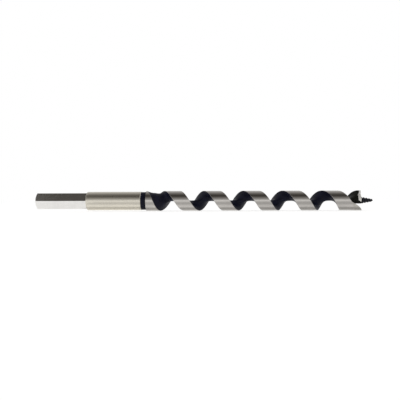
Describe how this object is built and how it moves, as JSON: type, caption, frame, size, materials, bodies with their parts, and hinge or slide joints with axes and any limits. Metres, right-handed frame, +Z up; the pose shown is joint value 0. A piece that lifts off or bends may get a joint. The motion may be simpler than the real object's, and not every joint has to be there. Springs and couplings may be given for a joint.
{
  "type": "auger bit",
  "caption": "Wood auger bit with an open twist, hexagonal drive shank, ground round stem, scoring spur and tapered lead screw.",
  "frame": {"origin": "middle of the hexagon's end face, on the bit's axis", "axes": "+X along the axis towards the lead screw's point, +Z up, out of one flat of the hexagon"},
  "size_m": [0.235, 0.014, 0.014],
  "materials": {
    "ground_steel": "ground bright, with fine turned marks",
    "black_coat": "baked black coat, ground bright on the outer land"
  },
  "bodies": {
    "root": {"hex_shank": "ground_steel", "round_stem": "ground_steel", "relief_neck": "black_coat", "twist": "black_coat", "cutting_head": "black_coat", "scoring_spur": "ground_steel", "lead_screw": "black_coat"}
  },
  "joints": []
}
